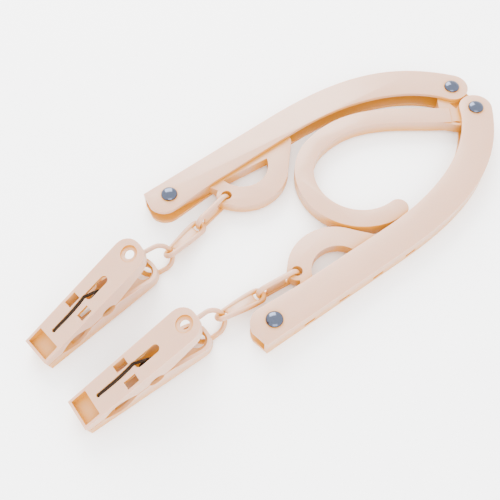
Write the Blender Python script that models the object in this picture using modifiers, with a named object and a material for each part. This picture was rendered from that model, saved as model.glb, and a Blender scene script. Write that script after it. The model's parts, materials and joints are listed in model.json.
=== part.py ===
"""Folding travel clothes hanger with two spring clips on short chains.

The hanger lies folded and flat, seen from above: +Z up, the hook's hub towards +Y, the two folded
arms and the clips towards -Y. The origin is on the resting plane, under the middle of the folded
hanger. Side A is at -X and side B at +X.
"""
import math

import bmesh
import bpy
from mathutils import Matrix, Vector

MM = 0.001

# Clearance kept between separate pieces
GAP = 0.3 * MM

# Where the hub stands, so that the origin is under the middle of the folded hanger
HUB_AT = (0.0, 110.9 * MM)

# Arms: channel mouldings, open towards the hook
ARM_LENGTH = 145.0 * MM      # hub pivot to end pivot, along Y
HUB_HALF = 8.1 * MM          # hub pivot to the middle line
END_HALF = 38.0 * MM         # end pivot to the middle line
ARM_THICK = 9.0 * MM
ARM_SKIN = 1.6 * MM          # top and bottom plates
ARM_WALL = 1.8 * MM          # outer wall
ARM_OUTER = 7.0 * MM         # arm's line to its outer edge
ARM_INNER = 6.6 * MM         # arm's line to its inner edge
ARM_LEAN = 1.2 * MM          # how much further out the shoulder is than the end pivot
SHOULDER = 78.0 * MM         # hub pivots to where the curved stretch begins, along Y
END_ROUND = 7.8 * MM         # radius of the free end
END_PAST = 2.6 * MM          # centre of that round beyond the end pivot
ARM_EDGE = 0.7 * MM          # rounding of the rims
WALL_STOP = math.radians(28)  # where the outer wall ends around the hub pivot
SLOT_COUNT = 4
SLOT_LENGTH = 5.5 * MM
SLOT_HEIGHT = 1.8 * MM
SLOT_PITCH = 18.5 * MM
SLOT_FIRST = 13.0 * MM       # end pivot to the first slot's middle

# Rivets
RIVET_SHANK = 2.0 * MM       # radius
RIVET_HEAD = 3.6 * MM        # radius
RIVET_DOME = 1.7 * MM
RIVET_TAIL = 0.55 * MM       # thickness of the clinched end
TAIL_LIFT = 0.1 * MM         # clinched end above the resting plane

# Hook and hub, one moulding
HOOK_WIDTH = 8.7 * MM
HOOK_THICK = 6.4 * MM
HOOK_EDGE = 1.2 * MM
HOOK_ASIDE = 2.6 * MM        # loop's centre beside the middle line, towards side B
HOOK_TIP = math.radians(3)   # where the loop ends, counted from side B
HUB_FRONT = 12.6 * MM        # hub's edge where the stem begins
HUB_BACK = 4.4 * MM          # hub's edge between the pivots
STEM_AT = 3.5 * MM           # stem's start beside the middle line, towards side B
STEM_LEAN = math.radians(35)  # stem to the middle line
STEM_STRAIGHT = 7.0 * MM
GUSSET_REACH = 5.0 * MM      # how far the gusset runs down the stem
GUSSET_WEB = 2.0 * MM
RIB = 1.3 * MM

# Swing brackets
BAR_HALF = 4.7 * MM          # half the width of the bar in the channel
BAR_LENGTH = 64.0 * MM
BRACKET_EDGE = 0.7 * MM
LOOP_CENTRE = (3.0 * MM, 36.0 * MM)
LOOP_OUTER = 21.2 * MM
LOOP_INNER = 10.6 * MM
EYE_AT = (12.6 * MM, 22.0 * MM)
EYE_RADIUS = 2.4 * MM
BRACKET_OPEN = {"a": math.radians(5.0), "b": 0.0}   # how far each one stands open at rest

# Chain links
WIRE_FIRST = 0.75 * MM       # radii of the three links' sections
WIRE_MIDDLE = 1.15 * MM
WIRE_RING = 1.05 * MM
FIRST_WIDE = 1.6             # first link's section is this much wider than high
FIRST_REACH = 19.4 * MM      # joint to joint
MIDDLE_REACH = 17.3 * MM
RING_REACH = 14.4 * MM
MIDDLE_HALF = 2.7 * MM       # half the middle link's width, at its section's centre
RING_HALF = 5.7 * MM
RING_TILT = math.radians(50)
MIDDLE_LOW = 3.2 * MM        # height of the middle link's end inside the first link
WEB_THICK = 1.3 * MM         # web that fills the middle of the first two links
# directions of first link, middle link, ring and clip, from -Y towards +X
HEADINGS = {"a": (13.0, 14.0, 3.1, 6.5), "b": (-5.8, -3.0, 9.1, -0.8)}

# Clips: two equal halves and a torsion spring
CLIP_JAW = 36.8 * MM         # pivot to jaw tip
CLIP_HANDLE = 21.7 * MM      # pivot to handle end
JAW_WIDTH = 13.2 * MM
HANDLE_WIDTH = 14.4 * MM
JAW_HEIGHT = 4.0 * MM        # one half, at the jaw tip
CLIP_SLOPE = math.radians(8.4)   # outer face to the middle plane
CLIP_SKIN = 1.6 * MM
CLIP_WALL = 1.4 * MM
CLIP_PLAY = 0.2 * MM         # each half's gap to the middle plane
CLIP_LIFT = 2.45 * MM        # handle's outer face above the resting plane, at the ring
CORNER = 6.4 * MM            # handle's corner radius
CLIP_HOLE = 3.3 * MM         # lower handle's hole, which the ring passes through
UPPER_HOLE = 2.0 * MM
HOLE_INSET = 5.6 * MM        # handle end to the hole's centre
HOLE_DISH = 0.8 * MM         # wider and shallow seat around the upper hole
RIM = 4.2 * MM               # height of the handle's rim, from its outer face
JAW_PAD = 1.4 * MM           # floor of the jaw's recess above the middle plane
JAW_RIM = 1.0 * MM
COIL_BACK = 5.0 * MM         # pivot to the coil's centre, towards the jaw
COIL_RADIUS = 2.9 * MM
COIL_TURNS = 2
SPRING_WIRE = 0.6 * MM       # radius
LEG_LENGTH = 20.6 * MM       # coil's centre to the leg's end, along the clip
LEG_SINK = -0.2 * MM         # leg's centre line to the outer face
COIL_HALF = 1.5 * MM         # half the coil's length, at its wire's centre
LEG_SIDE = 0.8 * MM          # the leg leaves the coil this far from the middle, and ends as far across it
SLOT_HALF = 1.8 * MM         # half the slot's width
SLOT_SPAN = (-3.0 * MM, 8.6 * MM)   # spring's slot along the clip, from the coil's centre

PLASTIC = ("hanger_plastic", (0.82, 0.64, 0.52, 1.0), 0.38, 0.0)
STEEL = ("rivet_steel", (0.62, 0.62, 0.63, 1.0), 0.22, 1.0)
BRONZE = ("spring_wire", (0.17, 0.11, 0.06, 1.0), 0.3, 1.0)

# Heights that follow from the sizes above
CHANNEL_LOW = ARM_SKIN
CHANNEL_HIGH = ARM_THICK - ARM_SKIN
INSIDE_LOW = CHANNEL_LOW + GAP      # what turns between the plates
INSIDE_HIGH = CHANNEL_HIGH - GAP
MIDDLE_Z = ARM_THICK / 2
HUB_ROUND = HUB_HALF - GAP
SHANK_HOLE = RIVET_SHANK + GAP + 0.05 * MM


def clear_scene():
    for thing in list(bpy.data.objects):
        bpy.data.objects.remove(thing, do_unlink=True)


def collection(name):
    made = bpy.data.collections.new(name)
    bpy.context.scene.collection.children.link(made)
    return made


def material(spec):
    name, colour, roughness, metallic = spec
    made = bpy.data.materials.get(name)
    if made is None:
        made = bpy.data.materials.new(name)
        made.use_nodes = True
        shader = made.node_tree.nodes["Principled BSDF"]
        shader.inputs["Base Color"].default_value = colour
        shader.inputs["Roughness"].default_value = roughness
        shader.inputs["Metallic"].default_value = metallic
        made.diffuse_color = colour
    return made


# ---------------------------------------------------------------- outlines

def arc(centre, radius, start, end, steps):
    """Points on a circle from angle start to angle end, both included."""
    points = []
    for i in range(steps + 1):
        a = start + (end - start) * i / steps
        points.append((centre[0] + radius * math.cos(a), centre[1] + radius * math.sin(a)))
    return points


def bezier(p0, p1, p2, p3, steps):
    points = []
    for i in range(steps + 1):
        t = i / steps
        u = 1 - t
        weights = (u ** 3, 3 * u * u * t, 3 * u * t * t, t ** 3)
        points.append(tuple(sum(w * p[k] for w, p in zip(weights, (p0, p1, p2, p3))) for k in (0, 1)))
    return points


def smooth(points, steps):
    """Catmull-Rom curve through the points, in two or three dimensions."""
    ends = [points[0]] + list(points) + [points[-1]]
    out = []
    for p0, p1, p2, p3 in zip(ends, ends[1:], ends[2:], ends[3:]):
        for i in range(steps):
            t = i / steps
            out.append(tuple(
                0.5 * (2 * b + (c - a) * t + (2 * a - 5 * b + 4 * c - d) * t * t
                       + (3 * b - a - 3 * c + d) * t ** 3)
                for a, b, c, d in zip(p0, p1, p2, p3)))
    out.append(tuple(points[-1]))
    return out


def shifted(points, distance):
    """The line moved sideways, to its left when distance is positive."""
    out = []
    for i, p in enumerate(points):
        before = points[max(i - 1, 0)]
        after = points[min(i + 1, len(points) - 1)]
        dx, dy = after[0] - before[0], after[1] - before[1]
        length = math.hypot(dx, dy)
        out.append((p[0] - dy / length * distance, p[1] + dx / length * distance))
    return out


def turned(points, angle):
    c, s = math.cos(angle), math.sin(angle)
    return [(x * c - y * s, x * s + y * c) for x, y in points]


def moved(points, dx, dy, flip=1):
    return [(flip * (x + dx), y + dy) for x, y in points]


# ---------------------------------------------------------------- meshes

def mesh_from_curve(curve, name):
    """The evaluated curve as a closed mesh with welded caps."""
    holder = bpy.data.objects.new(name + "_curve", curve)
    bpy.context.scene.collection.objects.link(holder)
    graph = bpy.context.evaluated_depsgraph_get()
    mesh = bpy.data.meshes.new_from_object(holder.evaluated_get(graph))
    bpy.data.objects.remove(holder, do_unlink=True)
    bpy.data.curves.remove(curve)
    work = bmesh.new()
    work.from_mesh(mesh)
    bmesh.ops.remove_doubles(work, verts=work.verts, dist=1e-6)
    bmesh.ops.recalc_face_normals(work, faces=work.faces)
    work.to_mesh(mesh)
    work.free()
    mesh.name = name
    return mesh


def plate(name, points, low, high):
    """A flat outline made solid between two heights."""
    curve = bpy.data.curves.new(name, "CURVE")
    curve.dimensions = "2D"
    curve.fill_mode = "BOTH"
    curve.extrude = (high - low) / 2
    spline = curve.splines.new("POLY")
    spline.points.add(len(points) - 1)
    for point, (x, y) in zip(spline.points, points):
        point.co = (x, y, 0, 1)
    spline.use_cyclic_u = True
    mesh = mesh_from_curve(curve, name)
    mesh.transform(Matrix.Translation((0, 0, (high + low) / 2)))
    return mesh


def side_plate(name, points, half):
    """An outline in the Y-Z plane, made solid from -half to +half along X."""
    mesh = plate(name, points, -half, half)
    mesh.transform(Matrix(((0, 0, 1, 0), (1, 0, 0, 0), (0, 1, 0, 0), (0, 0, 0, 1))))
    return mesh


def rod(name, points, radius, closed=False, sides=2):
    """A round wire along the points."""
    curve = bpy.data.curves.new(name, "CURVE")
    curve.dimensions = "3D"
    curve.bevel_depth = radius
    curve.bevel_resolution = sides
    curve.use_fill_caps = not closed
    spline = curve.splines.new("POLY")
    spline.points.add(len(points) - 1)
    for point, co in zip(spline.points, points):
        point.co = (*co, 1)
    spline.use_cyclic_u = closed
    return mesh_from_curve(curve, name)


def box(name, low, high):
    work = bmesh.new()
    bmesh.ops.create_cube(work, size=1)
    mesh = bpy.data.meshes.new(name)
    work.to_mesh(mesh)
    work.free()
    size = [b - a for a, b in zip(low, high)]
    middle = [(a + b) / 2 for a, b in zip(low, high)]
    mesh.transform(Matrix.Translation(middle) @ Matrix.Diagonal((*size, 1)))
    return mesh


def peg(name, centre, radius, low, high, steps=24):
    """An upright round cutter."""
    work = bmesh.new()
    bmesh.ops.create_cone(work, cap_ends=True, segments=steps, radius1=radius, radius2=radius,
                          depth=high - low)
    mesh = bpy.data.meshes.new(name)
    work.to_mesh(mesh)
    work.free()
    mesh.transform(Matrix.Translation((centre[0], centre[1], (high + low) / 2)))
    return mesh


# ---------------------------------------------------------------- objects

def piece(name, mesh, finish, parent=None, at=(0, 0, 0), turn=(0, 0, 0)):
    thing = bpy.data.objects.new(name, mesh)
    PARTS.objects.link(thing)
    thing.parent = parent
    thing.location = at
    thing.rotation_euler = turn
    if not mesh.materials:
        mesh.materials.append(material(finish))
    mesh.shade_smooth()
    mesh.set_sharp_from_angle(angle=math.radians(35))
    return thing


def softened(thing, width, segments=2):
    """Round off the sharp rims."""
    step = thing.modifiers.new("soft_edges", "BEVEL")
    step.width = width
    step.segments = segments
    step.limit_method = "ANGLE"
    step.angle_limit = math.radians(60)


def joined(thing, mesh, operation):
    """Boolean of the piece with another shape given in the piece's own frame."""
    helper = bpy.data.objects.new(f"{thing.name}_{mesh.name}", mesh)
    CUTTERS.objects.link(helper)
    helper.parent = thing
    helper.hide_render = True
    helper.display_type = "WIRE"
    step = thing.modifiers.new(mesh.name, "BOOLEAN")
    step.operation = operation
    step.solver = "EXACT"
    step.object = helper


def cut(thing, mesh):
    joined(thing, mesh, "DIFFERENCE")


# ---------------------------------------------------------------- hook and hub

def loop_centre():
    """The loop fills the space between the hub and the two folded brackets."""
    return (HOOK_ASIDE, -(ARM_LENGTH - 76.4 * MM))


def loop_radius():
    """Centre line of the hook's band, nested between the arms."""
    inside = END_HALF + ARM_LEAN - ARM_INNER
    return inside - HOOK_ASIDE - 2 * GAP - HOOK_WIDTH / 2


def hook_line():
    """Stem down from the hub, out to side A, and round the loop to the tip."""
    centre, radius = loop_centre(), loop_radius()
    along = (-math.sin(STEM_LEAN), -math.cos(STEM_LEAN))
    start = (STEM_AT, -HUB_FRONT + 0.8 * MM)
    knee = tuple(a + STEM_STRAIGHT * b for a, b in zip(start, along))
    leave = math.radians(192)
    join = (centre[0] + radius * math.cos(leave), centre[1] + radius * math.sin(leave))
    heading = (math.sin(leave), -math.cos(leave))
    stem = bezier(knee, tuple(a + 18 * MM * b for a, b in zip(knee, along)),
                  tuple(a + 26 * MM * b for a, b in zip(join, heading)), join, 16)
    return [start] + stem[:-1] + arc(centre, radius, leave, 2 * math.pi + HOOK_TIP, 30)


def band_outline(line, half):
    """Both sides of a band along the line, its far end round."""
    left, right = shifted(line, half), shifted(line, -half)
    end, before = line[-1], line[-2]
    heading = math.atan2(end[1] - before[1], end[0] - before[0])
    tip = arc(end, half, heading + math.pi / 2, heading - math.pi / 2, 10)
    return left[:-1] + tip + right[-2::-1]


def hub_outline():
    """Two round lobes inside the arms' ends, joined by the block that carries the stem."""
    lobe = HUB_ROUND - ARM_WALL - GAP
    right = arc((HUB_HALF, 0), lobe, math.radians(-68), math.radians(118), 14)
    left = arc((-HUB_HALF, 0), lobe, math.radians(62), math.radians(248), 14)
    back = [(2.6 * MM, HUB_BACK), (-2.6 * MM, HUB_BACK)]
    front = [(-HUB_HALF + 0.6 * MM, -HUB_FRONT + 3 * MM), (-3.4 * MM, -HUB_FRONT)]
    gusset = [(STEM_AT, -HUB_FRONT - 1 * MM), (STEM_AT + RIB, -HUB_FRONT - GUSSET_REACH),
              (HUB_HALF + 2.4 * MM, -HUB_FRONT + 0.2 * MM),
              (HUB_HALF + 3.2 * MM, -HUB_FRONT + 3 * MM)]
    return right + back + left + front + gusset


def build_hook(root):
    low, high = MIDDLE_Z - HOOK_THICK / 2, MIDDLE_Z + HOOK_THICK / 2
    hook = piece("hook", plate("hook", band_outline(hook_line(), HOOK_WIDTH / 2), low, high),
                 PLASTIC, root)
    softened(hook, HOOK_EDGE)
    joined(hook, plate("hub", hub_outline(), INSIDE_LOW, INSIDE_HIGH), "UNION")
    for side in (-1, 1):
        cut(hook, peg(f"pivot_hole_{side}", (side * HUB_HALF, 0), SHANK_HOLE, 0, ARM_THICK))
    web = (INSIDE_HIGH - INSIDE_LOW - GUSSET_WEB) / 2
    edge = STEM_AT + HOOK_WIDTH / 2 * math.cos(STEM_LEAN)
    pocket = [(edge - 0.3 * MM, -HUB_FRONT - 1.6 * MM), (HUB_HALF + 1.1 * MM, -HUB_FRONT + 0.7 * MM),
              (HUB_HALF + 1.5 * MM, -HUB_FRONT + 2.6 * MM), (edge + 0.6 * MM, -HUB_FRONT + 0.9 * MM)]
    well = [(0.0, -1.2 * MM), (2.3 * MM, -6.6 * MM), (-2.3 * MM, -6.6 * MM)]
    for name, points in (("gusset_pocket", pocket), ("hub_well", well)):
        cut(hook, plate(name + "_top", points, INSIDE_HIGH - web, ARM_THICK))
        cut(hook, plate(name + "_bottom", points, 0, INSIDE_LOW + web))
    return hook


# ---------------------------------------------------------------- arms

def arm_edges():
    """Outer and inner edges of side B's arm, both from the free end to the hub."""
    pivot = (HUB_HALF, 0.0)
    shoulder_x = END_HALF + ARM_LEAN
    outer_end = (END_HALF + ARM_OUTER, -ARM_LENGTH - END_PAST - 6.4 * MM)
    outer_shoulder = (shoulder_x + ARM_OUTER, -SHOULDER)
    meet = math.radians(52)
    target = arc(pivot, HUB_ROUND, meet, meet, 1)[0]
    curve = bezier(outer_shoulder, (outer_shoulder[0], -SHOULDER + 42 * MM),
                   (target[0] + 30 * MM * math.sin(meet), target[1] - 30 * MM * math.cos(meet)),
                   target, 18)
    outer = [outer_end] + curve
    inner_shoulder = (shoulder_x - ARM_INNER, -SHOULDER)
    leave = math.radians(-120)
    target = arc(pivot, HUB_ROUND, leave, leave, 1)[0]
    curve = bezier(inner_shoulder, (inner_shoulder[0], -SHOULDER + 40 * MM),
                   (target[0] - 16 * MM * math.sin(leave), target[1] + 16 * MM * math.cos(leave)),
                   target, 18)
    inner = [(END_HALF - ARM_INNER + 0.3 * MM, -ARM_LENGTH + 19 * MM)] + curve
    return outer, inner


def arm_outline():
    outer, inner = arm_edges()
    hub_end = arc((HUB_HALF, 0), HUB_ROUND, math.radians(52), math.radians(240), 20)[1:-1]
    free_end = arc((END_HALF, -ARM_LENGTH - END_PAST), END_ROUND, math.radians(170),
                   math.radians(265), 12)
    return outer + hub_end + inner[::-1] + free_end


def arm_cavity():
    """Everything between the plates apart from the outer wall."""
    outer, _ = arm_edges()
    wall = shifted(outer, ARM_WALL)
    wall[0] = (wall[0][0], wall[0][1] - 20 * MM)
    pivot = (HUB_HALF, 0.0)
    around = arc(pivot, HUB_ROUND - ARM_WALL, math.radians(51), WALL_STOP, 2)
    beyond = HUB_ROUND + 6 * MM
    past_hub = [arc(pivot, beyond, WALL_STOP, WALL_STOP, 1)[0], (pivot[0], beyond),
                (-beyond, beyond), (-beyond, -beyond)]
    inside = [(END_HALF - 3 * END_ROUND, -SHOULDER), (END_HALF - 3 * END_ROUND, wall[0][1])]
    return wall[:-1] + around + past_hub + inside


def build_arm(side, root):
    flip = -1 if side == "a" else 1
    at = (flip * HUB_HALF, 0, 0)

    def own(points):
        return moved(points, -HUB_HALF, 0, flip)

    arm = piece(f"arm_{side}", plate("arm", own(arm_outline()), 0, ARM_THICK), PLASTIC, root, at)
    softened(arm, ARM_EDGE)
    cut(arm, plate("channel", own(arm_cavity()), CHANNEL_LOW, CHANNEL_HIGH))
    holes = {"hub": (0.0, 0.0), "end": (flip * (END_HALF - HUB_HALF), -ARM_LENGTH)}
    for name, centre in holes.items():
        cut(arm, peg(f"{name}_hole", centre, SHANK_HOLE, -ARM_SKIN, ARM_THICK + ARM_SKIN))
        seat = TAIL_LIFT + RIVET_TAIL + GAP
        cut(arm, peg(f"{name}_seat", centre, RIVET_HEAD + GAP, -ARM_SKIN, seat, 32))
    for i in range(SLOT_COUNT):
        y = -ARM_LENGTH + SLOT_FIRST + i * SLOT_PITCH
        x = flip * (END_HALF + ARM_OUTER - HUB_HALF)
        reach = ARM_WALL + ARM_LEAN
        cut(arm, box(f"slot_{i}", (x - reach, y - SLOT_LENGTH / 2, CHANNEL_LOW),
                     (x + reach, y + SLOT_LENGTH / 2, CHANNEL_LOW + SLOT_HEIGHT)))
    return arm


# ---------------------------------------------------------------- rivets

def rivet_mesh():
    """Half section of a rivet from the top of its dome down its outer side."""
    low, under = TAIL_LIFT, ARM_THICK + GAP
    round_over = [(RIVET_HEAD * math.sin(a), under + RIVET_DOME * math.cos(a))
                  for a in (math.pi / 2 * i / 8 for i in range(9))]
    profile = round_over + [(RIVET_SHANK, under), (RIVET_SHANK, low + RIVET_TAIL),
                            (RIVET_HEAD - GAP, low + RIVET_TAIL), (RIVET_HEAD - GAP, low), (0, low)]
    mesh = bpy.data.meshes.new("rivet")
    mesh.from_pydata([(x, 0, z) for x, z in profile], [(i, i + 1) for i in range(len(profile) - 1)], [])
    return mesh


def build_rivet(name, parent, at):
    rivet = piece(name, rivet_mesh(), STEEL, parent, at)
    spin = rivet.modifiers.new("turn", "SCREW")
    spin.steps = spin.render_steps = 28
    spin.use_merge_vertices = True
    spin.merge_threshold = 0.00001
    return rivet


# ---------------------------------------------------------------- swing brackets

def bracket_outline():
    """Bar along the channel with a half-round loop standing out of it, pivot at the origin."""
    start, corner = math.radians(-44), math.radians(58)
    outer = arc(LOOP_CENTRE, LOOP_OUTER, start, corner, 18)
    bar_end = arc((0, BAR_LENGTH - BAR_HALF), BAR_HALF, math.radians(60), math.pi, 8)
    pivot_end = arc((0, 0), BAR_HALF, math.pi, 2 * math.pi, 12)
    root = [(BAR_HALF, EYE_AT[1] - 4.2 * MM)] + arc(EYE_AT, EYE_RADIUS + 2.1 * MM, math.radians(-155),
                                                    math.radians(-40), 9)
    return pivot_end + root + outer + bar_end


def bracket_opening():
    """Half-round window between the bar and the loop."""
    half = math.radians(77)
    return arc((LOOP_CENTRE[0] - 0.9 * MM, LOOP_CENTRE[1] + 0.6 * MM), LOOP_INNER + 1.4 * MM,
               -half, half, 16)


def build_bracket(side, arm):
    flip = -1 if side == "a" else 1
    at = (flip * (END_HALF - HUB_HALF), -ARM_LENGTH, 0)
    turn = (0, 0, flip * BRACKET_OPEN[side])

    def own(points):
        return moved(points, 0, 0, -flip)

    bracket = piece(f"bracket_{side}", plate("bracket", own(bracket_outline()), INSIDE_LOW, INSIDE_HIGH),
                    PLASTIC, arm, at, turn)
    softened(bracket, BRACKET_EDGE)
    cut(bracket, peg("eye", own([EYE_AT])[0], EYE_RADIUS, 0, ARM_THICK, 20))
    cut(bracket, peg("pivot_hole", (0, 0), SHANK_HOLE, 0, ARM_THICK, 22))
    cut(bracket, plate("loop_opening", own(bracket_opening()), 0, ARM_THICK))
    return bracket


# ---------------------------------------------------------------- chain

def heading(side, index):
    """Turn about Z that points a link's own -Y along its heading."""
    return math.radians(HEADINGS[side][index])


def oval(half_length, half_width, steps=8):
    """Closed oval line: two half rounds joined by straight sides, long along Y."""
    straight = half_length - half_width
    top = arc((0, straight), half_width, 0, math.pi, steps)
    bottom = arc((0, -straight), half_width, math.pi, 2 * math.pi, steps)
    return top + bottom


def first_half():
    return (FIRST_REACH + 0.55 * MM) / 2


def first_height():
    """Half the first link's height, at its section's centre: it wraps the bracket."""
    return (INSIDE_HIGH - INSIDE_LOW) / 2 + GAP + WIRE_FIRST


def first_link_mesh():
    """Upright oval through the bracket's eye."""
    shift = -first_half() + 0.55 * MM
    points = [(0, y + shift, MIDDLE_Z + x) for x, y in oval(first_half(), first_height())]
    mesh = rod("first_link", points, WIRE_FIRST, closed=True)
    mesh.transform(Matrix.Diagonal((FIRST_WIDE, 1, 1, 1)))
    return mesh


def first_web_mesh():
    """Web between the bracket's rim and the next link's end."""
    start, end = -EYE_RADIUS - 3.4 * MM, -FIRST_REACH + middle_behind() + WIRE_MIDDLE + 2 * GAP
    high = first_height()
    return box("web", (-WEB_THICK / 2, end, MIDDLE_Z - high), (WEB_THICK / 2, start, MIDDLE_Z + high))


def middle_behind():
    """How far the middle link's end stands behind the joint, around the first link's wire."""
    return WIRE_FIRST + 2 * GAP + WIRE_MIDDLE


def ring_height():
    return RING_HALF * math.sin(RING_TILT) + WIRE_RING + 0.02 * MM


def middle_link_mesh():
    """Flat oval that twists, so that its far end stands across the ring's wire."""
    points = [middle_point(x, y) for x, y in smooth_oval(middle_half(), MIDDLE_HALF)]
    return rod("middle_link", points, WIRE_MIDDLE, closed=True)


def middle_half():
    beyond = WIRE_RING + GAP + WIRE_MIDDLE
    return (MIDDLE_REACH + middle_behind() + beyond) / 2


def middle_point(x, y, lift=0.0):
    """A point of the link's flat plan, turned with its twist; lift is square to the plan."""
    half = middle_half()
    share = (half - y) / (2 * half)
    twist = (math.pi / 2 - RING_TILT) * min(1.0, max(0.0, 1.6 * share - 0.4))
    z = MIDDLE_LOW + (ring_height() - MIDDLE_LOW) * share
    return (x * math.cos(twist) - lift * math.sin(twist), y - half + middle_behind(),
            z + x * math.sin(twist) + lift * math.cos(twist))


def middle_web_mesh():
    """Twisted strip between the two strands, clear of both neighbours' wires."""
    half, count = middle_half(), 10
    first = half - middle_behind() - WIRE_FIRST - 3 * GAP
    last = half - middle_behind() - MIDDLE_REACH + WIRE_RING + 3 * GAP
    corners = ((-MIDDLE_HALF, -1), (MIDDLE_HALF, -1), (MIDDLE_HALF, 1), (-MIDDLE_HALF, 1))
    points = [middle_point(x, first + (last - first) * i / count, sign * WEB_THICK / 2)
              for i in range(count + 1) for x, sign in corners]
    faces = [(3, 2, 1, 0), tuple(4 * count + k for k in range(4))]
    for i in range(count):
        for k in range(4):
            a, b = 4 * i + k, 4 * i + (k + 1) % 4
            faces.append((a, b, b + 4, a + 4))
    mesh = bpy.data.meshes.new("web")
    mesh.from_pydata(points, [], faces)
    work = bmesh.new()
    work.from_mesh(mesh)
    bmesh.ops.recalc_face_normals(work, faces=work.faces)
    work.to_mesh(mesh)
    work.free()
    return mesh


def smooth_oval(half_length, half_width, along=5):
    """An oval with points along its straight sides as well."""
    straight = half_length - half_width
    side = [straight - 2 * straight * i / along for i in range(1, along)]
    line = oval(half_length, half_width)
    middle = len(line) // 2
    left = [(-half_width, y) for y in side]
    right = [(half_width, y) for y in side[::-1]]
    return line[:middle] + left + line[middle:] + right


def ring_drop():
    """In the ring's own plane, how far below its middle the clip's plate crosses it."""
    plate_height = CLIP_LIFT + CLIP_SKIN / 2
    return (ring_height() - plate_height) / math.sin(RING_TILT)


def ring_mesh():
    """Tilted oval: its far end passes through the lower handle's hole."""
    cross = math.sqrt(RING_HALF ** 2 - ring_drop() ** 2)
    half = (RING_REACH + RING_HALF - cross) / 2
    aside = ring_drop() * math.cos(RING_TILT)
    points = []
    for x, y in oval(half, RING_HALF, 10):
        share = (half - y) / (RING_REACH)
        points.append((x * math.cos(RING_TILT) - aside * share, y - half,
                       ring_height() - x * math.sin(RING_TILT)))
    return rod("ring_link", points, WIRE_RING, closed=True)


def below(reach):
    return (0, -reach, 0)


def build_chain(side, bracket):
    flip = -1 if side == "a" else 1
    eye = (-flip * EYE_AT[0], EYE_AT[1], 0)
    stands = flip * BRACKET_OPEN[side]
    turns = [heading(side, 0) - stands] + [heading(side, i) - heading(side, i - 1) for i in (1, 2)]
    first = piece(f"chain_first_{side}", first_link_mesh(), PLASTIC, bracket, eye, (0, 0, turns[0]))
    middle = piece(f"chain_middle_{side}", middle_link_mesh(), PLASTIC, first, below(FIRST_REACH),
                   (0, 0, turns[1]))
    joined(first, first_web_mesh(), "UNION")
    joined(middle, middle_web_mesh(), "UNION")
    ring = piece(f"chain_ring_{side}", ring_mesh(), PLASTIC, middle, below(MIDDLE_REACH),
                 (0, 0, turns[2]))
    return ring


# ---------------------------------------------------------------- clips

def outer_height(y):
    """A half's outer face above the middle plane, at y along the clip (jaw towards -Y)."""
    return JAW_HEIGHT + (y + CLIP_JAW) * math.tan(CLIP_SLOPE)


def half_side_outline():
    """Side view of the upper half, in the Y-Z plane."""
    gap_ends = (-CLIP_JAW + 7.4 * MM, -CLIP_JAW + 22.6 * MM)
    side_gap = [(gap_ends[0] + (gap_ends[1] - gap_ends[0]) * i / 10,
                 CLIP_PLAY + 3.2 * MM * math.sin(math.pi * i / 10)) for i in range(11)]
    notch = [(-COIL_BACK + 3.3 * MM * math.cos(a), CLIP_PLAY + 2.3 * MM * math.sin(a))
             for a in (math.pi * (1 - i / 8) for i in range(9))]
    rise = math.tan(math.radians(21))
    rim_start = (outer_height(0) - RIM - CLIP_PLAY) / (rise - math.tan(CLIP_SLOPE))
    rim_start = min(rim_start, CLIP_HANDLE - 2 * CLIP_WALL)
    inner = [(-CLIP_JAW, CLIP_PLAY)] + side_gap
    handle = [(0.4 * MM, CLIP_PLAY), (rim_start, CLIP_PLAY + rise * rim_start),
              (CLIP_HANDLE, outer_height(CLIP_HANDLE) - RIM)]
    outer = [(CLIP_HANDLE, outer_height(CLIP_HANDLE)), (-CLIP_JAW, outer_height(-CLIP_JAW))]
    return inner + notch + handle + outer


def half_plan_outline(inset=0.0, jaw_inset=0.0):
    """Plan of a clip half: tapered, with round corners at the handle."""
    jaw, handle = JAW_WIDTH / 2 - inset, HANDLE_WIDTH / 2 - inset
    end, radius = CLIP_HANDLE - inset, max(CORNER - inset, 1 * MM)
    right = arc((handle - radius, end - radius), radius, 0, math.pi / 2, 6)
    left = [(-x, y) for x, y in right[::-1]]
    return [(-jaw, -CLIP_JAW + jaw_inset), (jaw, -CLIP_JAW + jaw_inset)] + right + left


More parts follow.
